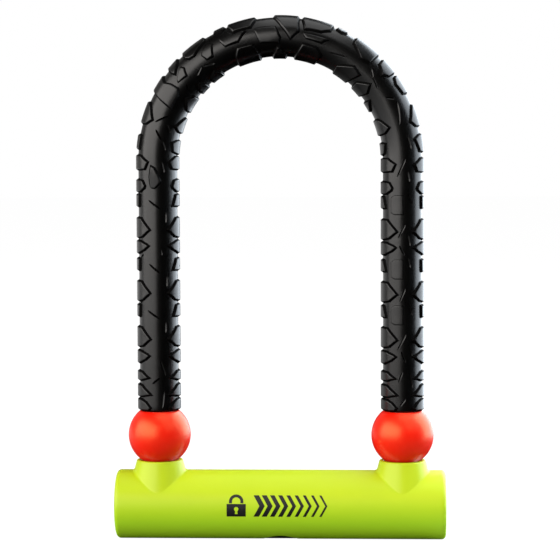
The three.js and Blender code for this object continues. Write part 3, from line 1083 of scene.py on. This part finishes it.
def make_cover():
    bm = bmesh.new()
    edge = 2.1 * mm
    outer_holes, inner_holes = [], []
    for side in (-1, 1):
        x = side * leg_half
        loops = fillet_loops(x)
        outer_holes.append([unrolled(point) for point in loops[-1]])
        well = circle_on_bar(x, collar_bore, tube_space, True)
        inner_holes.append([unrolled(point) for point in well])
        skin(bm, collar_rings(x, loops, well))
    keyhole = keyhole_radius + clear
    outer_ring = circle_on_bar(0, keyhole, skin_radius, False)
    inner_ring = circle_on_bar(0, keyhole, tube_space, False)
    outer_holes.append([unrolled(point) for point in outer_ring])
    inner_holes.append([unrolled(point) for point in inner_ring])
    skin(bm, [outer_ring, inner_ring])
    bar_sheet(bm, skin_radius, bar_half - edge, outer_holes)
    bar_sheet(bm, tube_space, bar_half - edge, inner_holes)
    lip = 0.3 * mm
    profile = arc((skin_radius - edge, bar_half - edge), edge, 0, 90, 10)[:-1]
    profile += [(tube_space + lip, bar_half)]
    profile += arc((tube_space + lip, bar_half - lip), lip, 90, 180, 3)
    profile += [(tube_space, bar_half - edge)]
    for side in (-1, 1):
        skin(bm, bar_rings([(radius, side * x) for radius, x in profile]))
    seam = 0.004 * mm
    bmesh.ops.remove_doubles(bm, verts=bm.verts, dist=seam)
    outward(bm)
    cover = finish_mesh("lime_bar_cover", bm, lime, smooth=math.radians(50))
    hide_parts("bar_cover")
    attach(cover, "bar")
    # The rubber above is too dull to mirror the bar.
    cover.visible_glossy = False


def bar_rings(profile):
    """Loops round the bar that start where the bar's sheet is joined."""
    rings = []
    for radius, x in profile:
        ring = []
        for i in range(bar_steps):
            turn = -math.pi + 2 * math.pi * i / bar_steps
            ring.append(Vector((x, -radius * math.cos(turn), bar_axis + radius * math.sin(turn))))
        rings.append(ring)
    return rings


def collar_rings(x, loops, well):
    """A collar from its well, over its rim and down its sloping side to the fillet's loops."""
    rim, lip = 0.75 * mm, 0.35 * mm
    top, mouth_floor = collar_top, collar_top - 1.8 * mm
    profile = [(collar_bore, mouth_floor), (collar_mouth, mouth_floor)]
    profile += [(collar_mouth, top - 0.5 * mm)]
    profile += arc((collar_mouth + lip, top - lip), lip, 180, 90, 4)
    profile += arc((collar_rim - rim, top - rim), rim, 90, 14.8, 6)
    slope_start = (collar_rim + collar_slope * 0.2 * mm, top - 0.8 * mm)
    rings = [well] + turned_rings(profile, (x, 0, 0), collar_steps)
    start = turned_rings([slope_start], (x, 0, 0), collar_steps)[0]
    for share in (0.0, 0.25, 0.5, 0.75):
        rings.append([high.lerp(foot, share) for high, foot in zip(start, loops[0])])
    return rings + loops


# ---------------------------------------------------------------- print on the bar


def print_shapes():
    """A padlock and a row of chevrons, as flat outlines in millimetres."""
    body = [(-26, -5.2), (-16.4, -5.2), (-16.4, 1.2), (-26, 1.2)]
    keyway = arc((-21.2, -1.4), 1.15, 300, -120, 12) + [(-21.9, -3.9), (-20.5, -3.9)]
    hoop = arc((-21.2, 2.4), 3.6, 180, 0, 16) + [(-17.6, 1.5), (-19.1, 1.5)]
    hoop += arc((-21.2, 2.4), 2.1, 0, 180, 12) + [(-23.3, 1.5), (-24.8, 1.5)]
    shapes = [(body, [keyway]), (hoop, [])]
    lean, low, middle, high = 3.0, -5.2, 0.2, 5.6
    for i in range(9):
        left = -12.6 + 4.1 * i
        right = left + 2.7 - 0.2 * i
        chevron = [(left, low), (right, low), (right + lean, middle)]
        chevron += [(right, high), (left, high), (left + lean, middle)]
        shapes.append((chevron, []))
    return shapes


def make_print():
    bm = bmesh.new()
    for outline, holes in print_shapes():
        loops = [[(x * mm, y * mm) for x, y in loop] for loop in (outline, *holes)]
        loops = [divided(loop, edge_counts(loop, 0.9 * mm)) for loop in loops]
        points, faces = fill(loops[0], (1.2 * mm, 1.0 * mm), loops[1:])
        layers = []
        for radius in (skin_radius + 0.03 * mm, skin_radius - 0.05 * mm):
            layers.append([bm.verts.new(on_bar_front(point, radius)) for point in points])
        for face in faces:
            bm.faces.new([layers[0][i] for i in face])
            bm.faces.new([layers[1][i] for i in face[::-1]])
        start = 0
        for loop in loops:
            for i in range(len(loop)):
                a, b = start + i, start + (i + 1) % len(loop)
                bm.faces.new((layers[0][a], layers[1][a], layers[1][b], layers[0][b]))
            start += len(loop)
    outward(bm)
    made = finish_mesh("bar_print", bm, ink, weld=1e-8)
    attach(made, "bar")


def on_bar_front(point, radius):
    """A point of the flat print, laid on the front of the bar near its middle."""
    x, turn = point[0] - 0.4 * mm, (point[1] + 1.6 * mm) / skin_radius
    return (x, -radius * math.cos(turn), bar_axis + radius * math.sin(turn))


# ---------------------------------------------------------------- other pieces and CAD nodes


def paint_nodes():
    finishes = {
        "lime_plastic": lime, "orange_plastic": orange, "tread_rubber": rubber,
        "hardened_steel": plated, "bright_steel": bright, "brass": brass,
        "cast_zinc": zinc, "black_plastic": black,
    }
    for part in frame["record"]["subparts"]:
        mesh = frame["nodes"][part["node"]].data
        mesh.materials.clear()
        mesh.materials.append(finishes[part["material_slot"]])


def make_end_cap(side, end):
    low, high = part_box(f"end_cap_{end}")
    outer, inner = max(abs(low.x), abs(high.x)), min(abs(low.x), abs(high.x))
    spigot, dish = cap_radius - 3.3 * mm, cap_radius - 2.2 * mm
    edge, dish_depth, flange = 0.45 * mm, 0.35 * mm, 3 * mm
    profile = [(0, inner), (spigot - edge, inner), (spigot, inner + edge)]
    profile += [(spigot, outer - flange), (cap_radius, outer - flange), (cap_radius, outer - edge)]
    profile += arc((cap_radius - edge, outer - edge), edge, 0, 90, 5)[1:]
    profile += [(dish, outer), (dish - 0.3 * mm, outer - dish_depth), (0, outer - dish_depth)]
    pole = 1e-8  # small enough for the middle of a face to weld to one point
    profile = [(max(radius, pole), side * x) for radius, x in profile]
    bm = bmesh.new()
    skin(bm, turned_rings(profile, (0, 0, bar_axis), 96, axis="x"))
    outward(bm)
    made = finish_mesh(f"bar_end_cap_{end}", bm, lime, weld=2e-7)
    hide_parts(f"end_cap_{end}")
    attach(made, "bar")


# ---------------------------------------------------------------- room, lights and camera


def make_floor():
    bm = bmesh.new()
    bmesh.ops.create_grid(bm, x_segments=2, y_segments=2, size=6.0)
    mesh = bpy.data.meshes.new("studio_floor")
    bm.to_mesh(mesh)
    bm.free()
    floor = add_object("studio_floor", mesh)
    floor.location.z = -0.0002
    material = bpy.data.materials.new("studio paper")
    tree = empty_tree(material)
    seen, mirrored = ray_kind(tree, "Is Camera Ray"), ray_kind(tree, "Is Glossy Ray")
    bounce = tree.mix(mirrored, (0.25, 0.25, 0.25, 1), (0.0, 0.0, 0.0, 1))
    paper = tree.mix(seen, bounce, (0.8, 0.8, 0.8, 1))
    matt = tree.take("ShaderNodeBsdfDiffuse", 0, {"Color": paper})
    lit = tree.take("ShaderNodeEmission", 0, {"Color": (1, 1, 1, 1), "Strength": 1.15})
    # Painted light: in reflections the floor's left side glows, standing in for a lit area low on
    # the left.
    across = tree.split(object_place(tree))[0]
    left_glow = ((-across - 0.1) * 3.0).clamped()
    share = seen * 0.86 + mirrored * left_glow * 0.8
    shade = tree.take("ShaderNodeMixShader", 0, {0: share, 1: matt, 2: lit})
    tree.node("ShaderNodeOutputMaterial", {"Surface": shade})
    mesh.materials.append(material)


def make_world():
    world = bpy.data.worlds.new("studio")
    scene.world = world
    tree = empty_tree(world)
    seen, mirrored = ray_kind(tree, "Is Camera Ray"), ray_kind(tree, "Is Glossy Ray")
    depth = tree.split(tree.take("ShaderNodeTexCoord", "Generated"))[1]
    behind = ((depth - 0.2) * 1.6).clamped()
    shown = (seen + ray_kind(tree, "Is Transmission Ray") + mirrored * behind * 0.05).clamped()
    strength = shown + (1.0 - shown) * (1.0 - mirrored) * 0.01
    back = tree.take("ShaderNodeBackground", 0, {"Color": (1, 1, 1, 1), "Strength": strength})
    tree.node("ShaderNodeOutputWorld", {"Surface": back})


def add_lamp(name, place, target, size, power, colour=(1, 1, 1)):
    lamp = bpy.data.lights.new(name, "AREA")
    lamp.shape = "RECTANGLE"
    lamp.size, lamp.size_y = size
    lamp.energy = power
    lamp.color = colour
    made = add_object(name, lamp)
    made.location = place
    way = Vector(target) - Vector(place)
    made.rotation_euler = way.to_track_quat("-Z", "Y").to_euler()
    return made


def make_lights():
    middle = (0, 0, 0.12)
    add_lamp("left softbox", (-1.6, -1.24, 0.7), middle, (3.8, 2.0), 89.0, (1.0, 0.965, 0.93))
    add_lamp("left rear panel", (-0.75, 0.65, 0.4), middle, (0.9, 1.0), 0.8, (1.0, 0.97, 0.94))
    add_lamp("right panel", (0.28, 0.24, 0.22), (0, 0.1, 0.15), (0.66, 0.6), 6.0, (0.84, 0.92, 1.0))
    add_lamp("top panel", (0.15, 0.0, 1.3), middle, (1.4, 0.8), 6.0)
    fill_light = add_lamp("right fill", (0.42, -0.42, 0.55), (0.06, 0, 0.02), (0.5, 0.5), 2.2)
    fill_light.visible_glossy = False


def make_camera():
    yaw, pitch, roll = (math.radians(angle) for angle in (2.77, 3.77, -0.23))
    reach = 1.1267
    target = Vector((-0.0001, 0, 0.1309))
    level = Vector((math.sin(yaw), -math.cos(yaw), 0)) * math.cos(pitch)
    back = level + Vector((0, 0, math.sin(pitch)))
    camera = bpy.data.cameras.new("camera")
    camera.lens = 144.2
    camera.sensor_width = 36
    camera.clip_start, camera.clip_end = 0.01, 20
    made = add_object("camera", camera)
    made.rotation_mode = "QUATERNION"
    right = Vector((0, 0, 1)).cross(back).normalized()
    up = back.cross(right)
    tilted = right * math.cos(roll) + up * math.sin(roll)
    upright = back.cross(tilted)
    turn = Matrix((tilted, upright, back)).transposed().to_4x4()
    made.matrix_world = Matrix.Translation(target + back * reach) @ turn
    scene.camera = made


make_camera()
paint_nodes()
make_sleeve()
for side, end in ((-1, "left"), (1, "right")):
    make_ball(side, end)
    make_end_cap(side, end)
make_rod()
make_cover()
make_print()
make_floor()
make_world()
make_lights()
scene.view_settings.view_transform = "Standard"
